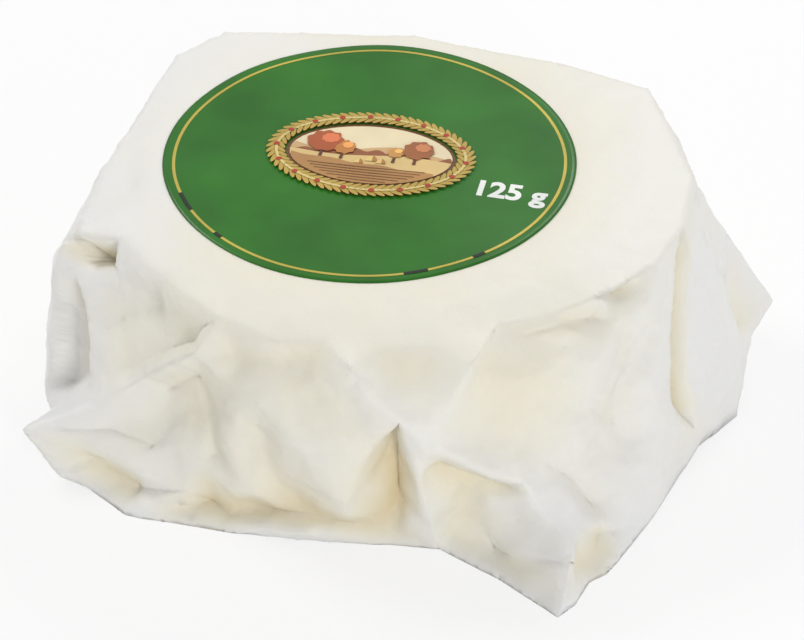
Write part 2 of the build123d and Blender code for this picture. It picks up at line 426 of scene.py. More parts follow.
# The line round the foot, where the paper turns under, anticlockwise seen from above.
foot = ("foot left a, foot left b, foot left c, foot front a, foot front b, foot front c, foot front d, "
        "ear right edge, ear right tip, ear right stripe, ear right side, ear right back, foot right a, "
        "foot right b, wing edge b, foot right c, foot back right, foot back f, foot back e, foot back d, "
        "foot back c, foot back b, foot back a, foot back left, foot side e, foot side d, foot side c, "
        "foot side b, foot side a, foot ear left b, foot ear left a")

# The sheet is worked on laid flat.  It lies over the top as far as flat_top from its middle, and
# past that it hangs down the wall.
flat_top = 32.0
wall_radius = block_radius + 1
step = 0.5                 # between neighbouring points of the paper
merge_distance = 1e-5      # points of the flat sheet nearer than this are one
inside_only = 1            # what delaunay_2d_cdt calls the triangles inside the outline


def sheet_distance(place):
    """How far down the sheet, from its middle, a knuckle is."""
    reach = math.hypot(place[0], place[1])
    full_reach = 30        # past this, a millimetre outward counts as a quarter
    return min(reach, full_reach) + 0.25 * max(0, reach - full_reach) + block_height - place[2]


def spread_out(bearing, distance):
    """The sheet laid flat, with what hangs fanned out so that its paper keeps its proportions."""
    hanging = np.maximum(distance - flat_top, 0)
    reach = 2 * np.minimum(distance, flat_top) * np.exp(hanging / wall_radius)
    return np.stack([reach * np.cos(bearing), reach * np.sin(bearing)], axis=-1)


def top_waves(x, y):
    """The slight waves of the top, which the label shares, in millimetres."""
    return (0.14 * np.sin(0.11 * x + 0.07 * y + 0.6) + 0.10 * np.sin(-0.09 * x + 0.16 * y + 2.1)
            + 0.05 * np.sin(0.26 * x + 0.19 * y) + 0.04 * np.sin(0.37 * y - 0.21 * x + 1.0) - 0.25)


# The top under the label, where less butter shows at the far left
top_spokes = 16
for number in range(top_spokes):
    turn = math.tau * number / top_spokes
    for share in (0.5, 0.97):
        x = label_right + share * label_radius * math.cos(turn)
        y = label_back + share * label_radius * math.sin(turn)
        butter_and_shade = 0.75 if x > -20 else 0.35
        knuckles[f"top {number} {share}"] = (x, y, block_height, butter_and_shade)

# The paper's roll-over between the label and each knuckle of the rim
for name in [name for name in knuckles if name.startswith("rim ")]:
    x, y, z, butter_and_shade = knuckles[name]
    from_label = Vector((x - label_right, y - label_back))
    label_edge = from_label.normalized() * label_radius
    between = label_edge.lerp(from_label, 0.6)
    height = block_height - 0.35 * (block_height - z)
    knuckles["roll " + name] = (label_right + between.x, label_back + between.y, height, 0.9 * butter_and_shade + 0.08)

names = list(knuckles)
places = np.array([knuckles[name][:3] for name in names])
knuckle_butter_and_shade = np.array([knuckles[name][3] for name in names])
bearings = np.arctan2(places[:, 1], places[:, 0])
spread = spread_out(bearings, np.array([sheet_distance(place) for place in places]))
lines = [(sharpness, [names.index(name) for name in text.split(", ")]) for sharpness, text in folds]
foot_line = [names.index(name) for name in foot.split(", ")]

# The cage: flat panels between the knuckles, with an edge along every fold and round the foot
cage_edges = [pair for _, line in lines for pair in zip(line, line[1:])]
cage_edges += list(zip(foot_line, foot_line[1:] + foot_line[:1]))
cage_flat, _, cage_panels, cage_origins, _, _ = delaunay_2d_cdt(
    [Vector(point) for point in spread], cage_edges, [], inside_only, merge_distance)
cage_spread = np.array([point[:] for point in cage_flat])
cage_source = np.array([origin[0] for origin in cage_origins])

# Fine points: along every fold and round the foot, and then evenly between them.  Each has a
# hold, which says how firmly it keeps its place while the paper is eased.
knuckle_hold = 0.3
foot_hold = 6.0
panel_hold = 0.07
fine_at = [tuple(point) for point in spread]
fine_edges = []
holds = [knuckle_hold] * len(names)


def fold_hold(sharpness):
    """The hold of a fold that was pressed that sharply."""
    return 6.0 * sharpness**2 + 0.08


def run_along(line, hold):
    """Points along a fold, no further apart than the step, joined in order."""
    chain = [line[0]]
    for a, b in zip(line, line[1:]):
        pieces = max(1, round(float(np.linalg.norm(places[a] - places[b])) / step))
        for piece in range(1, pieces):
            fine_at.append(tuple(spread[a] + (spread[b] - spread[a]) * piece / pieces))
            holds.append(hold)
            chain.append(len(fine_at) - 1)
        chain.append(b)
        holds[a] = max(holds[a], hold)
        holds[b] = max(holds[b], hold)
    fine_edges.extend(zip(chain, chain[1:]))
    return chain


for sharpness, line in lines:
    run_along(line, fold_hold(sharpness))
foot_chain = run_along(foot_line + foot_line[:1], foot_hold)

folds_tree = kdtree.KDTree(len(fine_at))
for index, point in enumerate(fine_at):
    folds_tree.insert((*point, 0), index)
folds_tree.balance()
past_foot = flat_top + block_height + 10       # further down the sheet than any point of the foot
coarse_top = label_radius - 12                 # well under the label, points twice as far apart do
distance = step
while distance < past_foot:
    gap = 2 * step if distance < coarse_top else step
    count = max(6, round(math.tau * min(distance, flat_top + 6) / gap))
    for number in range(count):
        bearing = math.tau * (number + 0.5 * (round(distance / gap) % 2)) / count
        point = spread_out(np.array(bearing), np.array(distance))
        widening = max(2.0, float(np.hypot(*point)) / wall_radius)
        if folds_tree.find((*point, 0))[2] > 0.45 * step * widening:
            fine_at.append(tuple(point))
            holds.append(panel_hold)
    distance += 0.87 * gap                     # rows of nearly even triangles
sheet_flat, _, sheet_faces, sheet_origins, _, _ = delaunay_2d_cdt(
    [Vector(point) for point in fine_at], fine_edges, [], inside_only, merge_distance)
fine_spread = np.array([point[:] for point in sheet_flat])
faces = [list(face) for face in sheet_faces]
fine_hold = np.array([max([holds[i] for i in origin], default=0.5) for origin in sheet_origins])
new_index = {old: new for new, origin in enumerate(sheet_origins) for old in origin}

# The fine points take their places from the panel of the cage that they lie in.  Where butter is
# right behind the paper, a panel follows the round of the block instead of cutting across it.
where = np.zeros((len(fine_spread), 3))
butter = np.zeros(len(fine_spread))
for panel in cage_panels:
    corners = cage_spread[list(panel)]
    low = corners.min(axis=0) - 1e-6
    high = corners.max(axis=0) + 1e-6
    inside = np.flatnonzero(((fine_spread >= low) & (fine_spread <= high)).all(axis=1))
    edge_a = corners[1] - corners[0]
    edge_b = corners[2] - corners[0]
    area = edge_a[0] * edge_b[1] - edge_a[1] * edge_b[0]
    offset = fine_spread[inside] - corners[0]
    b = (offset[:, 0] * edge_b[1] - offset[:, 1] * edge_b[0]) / area
    c = (edge_a[0] * offset[:, 1] - edge_a[1] * offset[:, 0]) / area
    hit = (b > -1e-5) & (c > -1e-5) & (b + c < 1 + 1e-5)
    inside = inside[hit]
    shares = np.stack([1 - b - c, b, c], axis=1)[hit]
    ends = cage_source[list(panel)]
    flat = shares @ places[ends]
    round_reach = shares @ np.hypot(places[ends, 0], places[ends, 1])
    # how much butter shows, with the painted shade of deep creases, spread over the panel
    butter_and_shade = shares @ knuckle_butter_and_shade[ends]
    bearing = np.arctan2(fine_spread[inside, 1], fine_spread[inside, 0])
    rounded = np.stack([round_reach * np.cos(bearing), round_reach * np.sin(bearing), flat[:, 2]], axis=1)
    on_wall = flat[:, 2] < block_height - 2.2
    on_butter = (np.clip(butter_and_shade * 1.4, 0, 1) * on_wall)[:, None]
    where[inside] = flat + (rounded - flat) * on_butter
    butter[inside] = butter_and_shade

# Each panel is eased between its folds, as far as the folds' hold lets it
pairs = np.array(sorted({tuple(sorted((face[i], face[i - 1]))) for face in faces for i in range(3)}))
ends_a = pairs[:, 0]
ends_b = pairs[:, 1]
point_count = len(where)
neighbours = np.bincount(ends_a, minlength=point_count) + np.bincount(ends_b, minlength=point_count)
neighbours = np.maximum(1, neighbours)


def average(values):
    """The mean of each point's neighbours."""
    columns = []
    for column in values.T:
        columns.append(np.bincount(ends_a, column[ends_b], point_count)
                       + np.bincount(ends_b, column[ends_a], point_count))
    return np.stack(columns, axis=1) / neighbours[:, None]


easing_rounds = 70
softening_rounds = 6
eased = where.copy()
for _ in range(easing_rounds):
    eased = (average(eased) + fine_hold[:, None] * where) / (1 + fine_hold[:, None])
# The butter seen and the painted crease shade are blurred a little over the sheet
softened = butter[:, None]
for _ in range(softening_rounds):
    softened = average(softened)
butter = softened[:, 0]


def outward(points):
    """The direction each point's paper faces."""
    corners = points[np.array(faces)]
    across = np.cross(corners[:, 1] - corners[:, 0], corners[:, 2] - corners[:, 0])
    summed = np.zeros_like(points)
    for corner in range(3):
        np.add.at(summed, np.array(faces)[:, corner], across)
    return summed / np.maximum(np.linalg.norm(summed, axis=1), 1e-12)[:, None]


def past_label(points):
    """How far outside the label's edge each point is, and negative under it."""
    return np.hypot(points[:, 0] - label_right, points[:, 1] - label_back) - label_radius


def crumple_height(at, butter_and_shade):
    """Sharp little ridges where the paper stands free of the butter, and soft lumps on it."""
    cells = noise.voronoi(at / 7.0, distance_metric="DISTANCE", exponent=2.5)[0]
    small_cells = noise.voronoi(at / 2.6 + Vector((9, 4, 2)), distance_metric="DISTANCE", exponent=2.5)[0]
    ridges = 0.55 - min(0.9, cells[1] - cells[0])
    pinches = 0.45 - min(0.8, small_cells[1] - small_cells[0])
    lumps = noise.noise(at / 6.0 + Vector((3, 7, 1))) + 0.5 * noise.noise(at / 2.2)
    free = 1 - min(1.0, butter_and_shade)
    return ((0.55 * free + 0.16) * ridges + (0.20 * free + 0.07) * pinches
            + (0.15 + 0.32 * (1 - free)) * lumps)


# The crumples fade out beside the label, along sharp folds and on the top
crumple = np.array([crumple_height(Vector(point), butter_and_shade) for point, butter_and_shade in zip(eased, butter)])
crumple *= np.clip(past_label(eased) / 3, 0, 1)
crumple *= np.where(fine_hold > 1, 0.4, 1.0)
crumple *= np.where(eased[:, 2] > block_height - 3.5, 0.35, 1.0)
shaped = eased + outward(eased) * crumple[:, None]

# Under the label the paper follows the top's waves, and its lowest points lie on the table
near_label = np.clip(1 - past_label(shaped) / 4, 0, 1)
top = block_height + top_waves(shaped[:, 0], shaped[:, 1])
shaped[:, 2] += near_label * (top - shaped[:, 2])
shaped[:, 2] = np.maximum(shaped[:, 2], 0.02)
foot_ring = [new_index[i] for i in foot_chain[:-1]]
shaped[foot_ring, 2] = 0.0

# The underside: one gently uneven panel inside the foot line, a little clear of the table
ring_count = len(foot_ring)
foot_points = [Vector(shaped[i][:2]) for i in foot_ring]
grid_step = 2.0
grid = [Vector((x, y)) for x in np.arange(-44, 46, grid_step) for y in np.arange(-42, 40, grid_step)]
ring_edges = [(i, (i + 1) % ring_count) for i in range(ring_count)]
under_flat, _, under_faces, under_origins, _, _ = delaunay_2d_cdt(
    foot_points + grid, ring_edges, [], inside_only, merge_distance)
under_at = []
under_points = []
for point, origin in zip(under_flat, under_origins):
    on_ring = [i for i in origin if i < ring_count]
    if on_ring:
        under_at.append(foot_ring[on_ring[0]])
    else:
        under_at.append(point_count + len(under_points))
        lift = 0.35 + 0.2 * noise.noise(Vector((point.x, point.y, 0)) / 9)
        under_points.append((point.x, point.y, lift))
faces += [[under_at[i] for i in reversed(face)] for face in under_faces]
all_points = np.vstack([shaped, np.array(under_points)])
all_butter_and_shade = np.concatenate([butter, np.full(len(under_points), 0.35)])

axis = np.array(block_axis)
wrap_mesh = bpy.data.meshes.new("greaseproof_paper")
wrap_mesh.from_pydata(((all_points + axis) * MM).tolist(), [], faces)
wrap_mesh.validate()
# The butter attribute holds the butter's cream and, above 1, painted shade for the deep creases
butter_and_shade_attribute = wrap_mesh.attributes.new("butter", "FLOAT", "POINT")
butter_and_shade_attribute.data.foreach_set("value", all_butter_and_shade.astype(np.float32))
wrap_mesh.shade_smooth()
paper = bpy.data.objects.new("greaseproof_paper", wrap_mesh)
bpy.context.collection.objects.link(paper)


def add(nodes, kind, **values):
    """A shader node with its settings and its unlinked inputs."""
    node = nodes.new(kind)
    for name, value in values.items():
        if name in node.inputs:
            node.inputs[name].default_value = value
        else:
            setattr(node, name, value)
    return node


def fibre_group():
    """Paper fibres and fine crumples, as a height and a clouding that vary over the sheet."""
    group = bpy.data.node_groups.new("paper fibres", "ShaderNodeTree")
    group.interface.new_socket("Scale", in_out="INPUT", socket_type="NodeSocketFloat").default_value = 1.0
    group.interface.new_socket("Height", in_out="OUTPUT", socket_type="NodeSocketFloat")
    group.interface.new_socket("Cloud", in_out="OUTPUT", socket_type="NodeSocketFloat")
    nodes, links = group.nodes, group.links
    inputs, outputs = nodes.new("NodeGroupInput"), nodes.new("NodeGroupOutput")
    coordinates = nodes.new("ShaderNodeTexCoord")
    scaled = add(nodes, "ShaderNodeVectorMath", operation="SCALE")
    links.new(coordinates.outputs["Object"], scaled.inputs[0])
    links.new(inputs.outputs["Scale"], scaled.inputs["Scale"])
    fibres = add(nodes, "ShaderNodeTexNoise", Scale=2600.0, Detail=4.0)
    creases = add(nodes, "ShaderNodeTexVoronoi", feature="DISTANCE_TO_EDGE", Scale=210.0)
    cloud = add(nodes, "ShaderNodeTexNoise", Scale=140.0, Detail=3.0)
    for texture in (fibres, creases, cloud):
        links.new(scaled.outputs["Vector"], texture.inputs["Vector"])
    crease_height = add(nodes, "ShaderNodeMapRange")
    crease_height.inputs["From Max"].default_value = 0.25
    crease_height.inputs["To Max"].default_value = 0.22
    links.new(creases.outputs["Distance"], crease_height.inputs["Value"])
    total_height = add(nodes, "ShaderNodeMath", operation="MULTIPLY_ADD")
    total_height.inputs[1].default_value = 0.5
    links.new(fibres.outputs["Fac"], total_height.inputs[0])
    links.new(crease_height.outputs["Result"], total_height.inputs[2])
    links.new(total_height.outputs["Value"], outputs.inputs["Height"])
    links.new(cloud.outputs["Fac"], outputs.inputs["Cloud"])
    return group


paper_fibres = fibre_group()


def greaseproof_material():
    """White paper, cream over the butter and painted ochre shade in the deep creases, with a soft sheen."""
    material = bpy.data.materials.new("greaseproof paper")
    material.use_nodes = True
    nodes, links = material.node_tree.nodes, material.node_tree.links
    shader = nodes["Principled BSDF"]
    shader.inputs["Roughness"].default_value = 0.5
    shader.inputs["Specular IOR Level"].default_value = 0.35
    shader.inputs["Subsurface Weight"].default_value = 0.12
    shader.inputs["Subsurface Radius"].default_value = (0.0025, 0.002, 0.0012)
    shader.inputs["Subsurface Scale"].default_value = 1.0
    fibres = nodes.new("ShaderNodeGroup")
    fibres.node_tree = paper_fibres
    fibres.inputs["Scale"].default_value = 1.0
    butter_and_shade_node = add(nodes, "ShaderNodeAttribute", attribute_name="butter")
    mottled = add(nodes, "ShaderNodeMath", operation="MULTIPLY_ADD")
    clouding = add(nodes, "ShaderNodeMath", operation="MULTIPLY_ADD")
    clouding.inputs[1].default_value = 0.6     # how much the clouding swings the butter's colour
    clouding.inputs[2].default_value = 0.7
    links.new(fibres.outputs["Cloud"], clouding.inputs[0])
    links.new(butter_and_shade_node.outputs["Fac"], mottled.inputs[0])
    links.new(clouding.outputs["Value"], mottled.inputs[1])
    mottled.inputs[2].default_value = 0.0
    half = add(nodes, "ShaderNodeMath", operation="MULTIPLY")
    half.inputs[1].default_value = 0.5
    links.new(mottled.outputs["Value"], half.inputs[0])
    # The ramp runs from white paper through the butter's cream to an ochre that is painted shade for the
    # deep creases
    ramp = nodes.new("ShaderNodeValToRGB")
    ramp.color_ramp.elements[0].color = (0.82, 0.82, 0.82, 1)
    ramp.color_ramp.elements[1].color = (0.68, 0.54, 0.29, 1)
    cream = ramp.color_ramp.elements.new(0.4)
    cream.color = (0.82, 0.78, 0.65, 1)
    links.new(half.outputs["Value"], ramp.inputs["Fac"])
    links.new(ramp.outputs["Color"], shader.inputs["Base Color"])
    bump = add(nodes, "ShaderNodeBump", Strength=0.5, Distance=0.00015)
    links.new(fibres.outputs["Height"], bump.inputs["Height"])
    links.new(bump.outputs["Normal"], shader.inputs["Normal"])
    return material


paper_finish = greaseproof_material()
wrap_mesh.materials.append(paper_finish)
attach(paper, "root")
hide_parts("wrap")

# ---------------------------------------------------------------------------------------------
# The label: a disc of coated paper, printed green, stuck on the top and following its slight
# waves.  A line of gold foil runs round inside its edge, with a few short stretches painted
# black as the foil's dark reflections.

label_turn = math.radians(13)              # the print stands a little askew on the block
label_thickness = 0.12
label_rings = 42
label_spokes = 144


def on_label(points, lift):
    """Places in metres for flat points of the print, in millimetres from the label's middle."""
    points = np.asarray(points, dtype=float)
    x = label_right + points[:, 0] * math.cos(label_turn) - points[:, 1] * math.sin(label_turn)
    y = label_back + points[:, 0] * math.sin(label_turn) + points[:, 1] * math.cos(label_turn)
    z = block_height + label_thickness + top_waves(x, y) + lift
    return (np.stack([x, y, z], axis=1) + axis) * MM


def piece_of(name, points, piece_faces, material):
    """One piece of the pack from its points and faces, riding on the block."""
    mesh = bpy.data.meshes.new(name)
    mesh.from_pydata([tuple(point) for point in points], [], piece_faces)
    mesh.validate()
    mesh.materials.append(material)
    piece = bpy.data.objects.new(name, mesh)
    bpy.context.collection.objects.link(piece)
    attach(piece, "root")
    return piece


def print_material(name, color, roughness=0.42, metallic=0.0, cloud_strength=0.12):
    """Ink on coated paper, a little uneven where it was laid on thinner."""
    material = bpy.data.materials.new(name)
    material.use_nodes = True
    nodes, links = material.node_tree.nodes, material.node_tree.links
    shader = nodes["Principled BSDF"]
    shader.inputs["Metallic"].default_value = metallic
    shader.inputs["Specular IOR Level"].default_value = 0.4
    fibres = nodes.new("ShaderNodeGroup")
    fibres.node_tree = paper_fibres
    fibres.inputs["Scale"].default_value = 0.6
    ramp = nodes.new("ShaderNodeValToRGB")
    ramp.color_ramp.elements[0].position, ramp.color_ramp.elements[1].position = 0.3, 0.7
    ramp.color_ramp.elements[0].color = (*[c * (1 - cloud_strength) for c in color], 1)
    ramp.color_ramp.elements[1].color = (*[min(1, c * (1 + cloud_strength)) for c in color], 1)
    rough = add(nodes, "ShaderNodeMapRange")
    rough.inputs["To Min"].default_value = roughness - 0.05
    rough.inputs["To Max"].default_value = roughness + 0.07
    bump = add(nodes, "ShaderNodeBump", Strength=0.12, Distance=0.00005)
    links.new(fibres.outputs["Cloud"], ramp.inputs["Fac"])
    links.new(fibres.outputs["Cloud"], rough.inputs["Value"])
    links.new(ramp.outputs["Color"], shader.inputs["Base Color"])
    links.new(rough.outputs["Result"], shader.inputs["Roughness"])
    links.new(fibres.outputs["Height"], bump.inputs["Height"])
    links.new(bump.outputs["Normal"], shader.inputs["Normal"])
    return material


label_green = print_material("green print", (0.016, 0.15, 0.004), roughness=0.36, cloud_strength=0.18)
gold_foil = print_material("gold foil", (0.62, 0.50, 0.10), roughness=0.35, metallic=0.5)
# A near-black ink, painted as the dark reflections of the gold foil
painted_reflection_foil = print_material("painted reflection foil", (0.012, 0.018, 0.01), roughness=0.4)
label_flat = [(0, 0)]
for ring in range(1, label_rings + 1):
    reach = label_radius * ring / label_rings
    for spoke in range(label_spokes):
        bearing = math.tau * spoke / label_spokes
        label_flat.append((reach * math.cos(bearing), reach * math.sin(bearing)))


def spoke_point(ring, spoke):
    """The number of a point of the label's web of rings and spokes."""
    return 1 + (ring - 1) * label_spokes + spoke % label_spokes


label_faces = [(0, spoke_point(1, spoke), spoke_point(1, spoke + 1)) for spoke in range(label_spokes)]
for ring in range(1, label_rings):
    for spoke in range(label_spokes):
        label_faces.append((spoke_point(ring, spoke), spoke_point(ring + 1, spoke),
                            spoke_point(ring + 1, spoke + 1), spoke_point(ring, spoke + 1)))
top_count = len(label_flat)
label_points = np.vstack([on_label(label_flat, 0), on_label(label_flat, -label_thickness)])
under_faces = [tuple(top_count + i for i in reversed(face)) for face in label_faces]
rim_faces = [(spoke_point(label_rings, spoke), top_count + spoke_point(label_rings, spoke),
              top_count + spoke_point(label_rings, spoke + 1), spoke_point(label_rings, spoke + 1))
             for spoke in range(label_spokes)]
label_paper = piece_of("label_paper", label_points, label_faces + under_faces + rim_faces, label_green)
label_paper.data.shade_smooth()
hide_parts("label")

ring_radius = label_radius - 1.5
ring_width = 0.42
print_lift = 0.03          # between one layer of ink and the next


def ring_arc(name, start, end, material, lift, width):
    """A stretch of the foil line, between two bearings in degrees."""
    count = max(2, round(abs(end - start) / 2))
    bearings = [math.radians(start + (end - start) * i / count) for i in range(count + 1)]
    flat = []
    for side in (1, -1):
        reach = ring_radius + side * width / 2
        flat += [(reach * math.cos(bearing), reach * math.sin(bearing)) for bearing in bearings]
    quads = [(i, i + 1, count + 2 + i, count + 1 + i) for i in range(count)]
    return piece_of(name, on_label(flat, lift), quads, material)


ring_arc("foil_line", 0, 360, gold_foil, print_lift, ring_width)
# Short stretches of the foil line are painted near-black as dark reflections in the foil
painted_reflection_places = [(-150, -141), (-68, -61), (-47, -43), (-128, -125)]
for number, (start, end) in enumerate(painted_reflection_places):
    ring_arc(f"painted_reflection_line_{number}", start, end, painted_reflection_foil, 2 * print_lift, 1.3 * ring_width)

# The picture in the middle: a country scene in cream, tan and russet, printed in flat fields.
picture_wide = 11.2        # half of its width, and of its height
picture_tall = 6.9
picture_back = 0.8         # its middle, from the label's
ink_step = 1.5             # between the points inside a field of ink


def ink_field(name, outline, color, layer):
    """One flat field of ink, from its outline in millimetres from the picture's middle."""
    outline = [Vector((x, y + picture_back)) for x, y in outline]
    xs = [point.x for point in outline]
    ys = [point.y for point in outline]
    inner = [Vector((x, y)) for x in np.arange(min(xs), max(xs), ink_step)
             for y in np.arange(min(ys), max(ys), ink_step)]
    edges = [(i, (i + 1) % len(outline)) for i in range(len(outline))]
    ink_flat, _, ink_faces, _, _, _ = delaunay_2d_cdt(outline + inner, edges, [], inside_only, 1e-6)
    flat = [point[:] for point in ink_flat]
    ink_faces = [list(face) for face in ink_faces]
    material = print_material(name.replace("_", " ") + " ink", color, roughness=0.45)
    return piece_of(name, on_label(flat, print_lift * layer), ink_faces, material)


def oval(wide, tall):
    """An oval outline."""
    count = 72
    turns = [math.tau * i / count for i in range(count)]
    return [(wide * math.cos(turn), tall * math.sin(turn)) for turn in turns]


def land(height):
    """The outline of what lies below a skyline, height(x), inside the picture's oval."""
    above = []
    below = []
    reach = picture_wide * 0.999
    for x in np.linspace(-reach, reach, 61):
        edge = picture_tall * math.sqrt(1 - (x / picture_wide) ** 2)
        top_edge = min(height(x), edge)
        if top_edge > -edge + 0.02:
            above.append((x, top_edge))
            below.append((x, -edge))
    return below + above[::-1]


def crown(x, y, wide, tall, seed):
    """The uneven outline of a leafy tree."""
    points = []
    count = 40
    for i in range(count):
        turn = math.tau * i / count
        swell = 1 + 0.16 * noise.noise(Vector((3 * math.cos(turn), 3 * math.sin(turn), seed)))
        swell += 0.07 * math.sin(9 * turn + seed)
        points.append((x + wide * swell * math.cos(turn), y + tall * swell * math.sin(turn)))
    return points


ink_field("picture_border", oval(picture_wide + 0.5, picture_tall + 0.5), (0.16, 0.07, 0.02), 1)
ink_field("picture_sky", oval(picture_wide, picture_tall), (0.82, 0.70, 0.46), 2)
ink_field("far_hills", land(lambda x: 1.4 + 0.9 * math.sin(0.35 * x + 0.5)), (0.62, 0.40, 0.19), 3)
tree_line = land(lambda x: 0.6 + 0.35 * math.sin(1.9 * x) + 0.5 * math.sin(0.4 * x + 2))
ink_field("wood", tree_line, (0.30, 0.10, 0.04), 4)
ink_field("meadow", land(lambda x: -0.2 + 0.4 * math.sin(0.3 * x)), (0.72, 0.52, 0.22), 5)
ink_field("near_field", land(lambda x: -2.4 - 0.12 * x + 0.2 * math.sin(0.9 * x)), (0.46, 0.24, 0.08), 6)
for number in range(6):
    low = -3.2 - 0.62 * number
    half = 0.9 * picture_wide * math.sqrt(max(0, 1 - (low / picture_tall) ** 2)) - 0.8
    if half > 1:
        outline = [(-half, low), (0, low - 0.12), (half, low - 0.1),
                   (half, low + 0.06), (0, low + 0.1), (-half, low + 0.14)]
        ink_field(f"furrow_{number}", outline, (0.20, 0.08, 0.03), 7)
trees = [(-6.8, 2.2, 2.5, 2.4, (0.42, 0.10, 0.03)), (-3.9, 1.2, 1.5, 1.6, (0.55, 0.22, 0.05)),
         (6.2, 1.9, 2.1, 2.2, (0.35, 0.12, 0.04)), (3.3, 0.9, 1.1, 1.2, (0.60, 0.30, 0.08))]
for number, (x, y, wide, tall, color) in enumerate(trees):
    trunk = [(x - 0.22, y - tall - 1.3), (x + 0.25, y - tall - 1.3), (x + 0.14, y), (x - 0.14, y)]
    ink_field(f"trunk_{number}", trunk, (0.12, 0.04, 0.02), 8)
    ink_field(f"crown_{number}", crown(x, y, wide, tall, number), color, 9)
    light = [min(1, 1.7 * c + 0.03) for c in color]
    lit_side = crown(x + 0.25 * wide, y + 0.3 * tall, 0.5 * wide, 0.45 * tall, number + 7)
    ink_field(f"crown_light_{number}", lit_side, light, 10)
haystacks = [(0.3, -1.1, 0.9), (1.7, -1.6, 0.75), (-1.3, -1.9, 0.7)]
for number, (x, y, size) in enumerate(haystacks):
    stack = [(x - size, y - 0.6 * size), (x + size, y - 0.6 * size), (x + 0.75 * size, y + 0.3 * size),
             (x + 0.1 * size, y + size), (x - 0.7 * size, y + 0.3 * size)]
    ink_field(f"haystack_{number}", stack, (0.80, 0.58, 0.20), 8)
    shade = [(x + 0.2 * size, y - 0.6 * size), (x + size, y - 0.6 * size), (x + 0.75 * size, y + 0.3 * size),
             (x + 0.1 * size, y + size)]
    ink_field(f"haystack_shade_{number}", shade, (0.45, 0.22, 0.06), 9)

# A closed garland of gold leaves frames the picture, one leaf after another along an oval.


def garland_tree():
    """Leaves set along an oval, each turned out of it by the same angle."""
    tree = bpy.data.node_groups.new("leaf garland", "GeometryNodeTree")
    face = tree.interface
    face.new_socket("Geometry", in_out="INPUT", socket_type="NodeSocketGeometry")
    for socket in ("Oval Size", "Leaf Size"):
        face.new_socket(socket, in_out="INPUT", socket_type="NodeSocketVector")
    face.new_socket("Leaves", in_out="INPUT", socket_type="NodeSocketInt")
    face.new_socket("Turn", in_out="INPUT", socket_type="NodeSocketFloat")
    face.new_socket("Material", in_out="INPUT", socket_type="NodeSocketMaterial")
    face.new_socket("Geometry", in_out="OUTPUT", socket_type="NodeSocketGeometry")
    nodes, links = tree.nodes, tree.links
    given, result = nodes.new("NodeGroupInput"), nodes.new("NodeGroupOutput")
    circle = add(nodes, "GeometryNodeCurvePrimitiveCircle", Resolution=128, Radius=1.0)
    stretched = nodes.new("GeometryNodeTransform")
    points = nodes.new("GeometryNodeCurveToPoints")
    leaf = add(nodes, "GeometryNodeMeshCircle", fill_type="NGON", Vertices=10, Radius=1.0)
    shaped_leaf = nodes.new("GeometryNodeTransform")
    direction = add(nodes, "FunctionNodeAlignRotationToVector", axis="X")
    twist = nodes.new("ShaderNodeCombineXYZ")
    turned = add(nodes, "FunctionNodeRotateRotation", rotation_space="LOCAL")
    placed = nodes.new("GeometryNodeInstanceOnPoints")
    real = nodes.new("GeometryNodeRealizeInstances")
    finish = nodes.new("GeometryNodeSetMaterial")
    links.new(circle.outputs["Curve"], stretched.inputs["Geometry"])
    links.new(given.outputs["Oval Size"], stretched.inputs["Scale"])
    links.new(stretched.outputs["Geometry"], points.inputs["Curve"])
    links.new(given.outputs["Leaves"], points.inputs["Count"])
    links.new(leaf.outputs["Mesh"], shaped_leaf.inputs["Geometry"])
    links.new(given.outputs["Leaf Size"], shaped_leaf.inputs["Scale"])
    links.new(points.outputs["Tangent"], direction.inputs["Vector"])
    links.new(given.outputs["Turn"], twist.inputs["Z"])
    links.new(direction.outputs["Rotation"], turned.inputs["Rotation"])
    links.new(twist.outputs["Vector"], turned.inputs["Rotate By"])
    links.new(points.outputs["Points"], placed.inputs["Points"])
    links.new(shaped_leaf.outputs["Geometry"], placed.inputs["Instance"])
    links.new(turned.outputs["Rotation"], placed.inputs["Rotation"])
    links.new(placed.outputs["Instances"], real.inputs["Geometry"])
    links.new(real.outputs["Geometry"], finish.inputs["Geometry"])
    links.new(given.outputs["Material"], finish.inputs["Material"])
    links.new(finish.outputs["Geometry"], result.inputs["Geometry"])
    return tree


leaf_rows = garland_tree()
leaf_gold = print_material("garland gold", (0.50, 0.34, 0.07), roughness=0.4)
leaf_dark = print_material("garland shade", (0.10, 0.07, 0.015), roughness=0.45)
leaf_pale = print_material("garland light", (0.70, 0.56, 0.22), roughness=0.4)


def leaf_row(name, oval_size, leaf_size, count, turn, material, layer):
    """One row of the garland, laid on the label."""
    holder = bpy.data.objects.new(name, bpy.data.meshes.new(name))
    bpy.context.collection.objects.link(holder)
    modifier = holder.modifiers.new("leaves", "NODES")
    modifier.node_group = leaf_rows
    values = {"Oval Size": (*oval_size, 1), "Leaf Size": (*leaf_size, 1), "Leaves": count,
              "Turn": math.radians(turn), "Material": material}
    for item in leaf_rows.interface.items_tree:
        if item.in_out == "INPUT" and item.name in values:
            modifier[item.identifier] = values[item.name]
    evaluated = holder.evaluated_get(bpy.context.evaluated_depsgraph_get())
    mesh = bpy.data.meshes.new_from_object(evaluated)
    flat = [(vertex.co.x, vertex.co.y + picture_back) for vertex in mesh.vertices]
    leaf_faces = [list(polygon.vertices) for polygon in mesh.polygons]
    bpy.data.objects.remove(holder)
    piece_of(name, on_label(flat, print_lift * layer), leaf_faces, material)


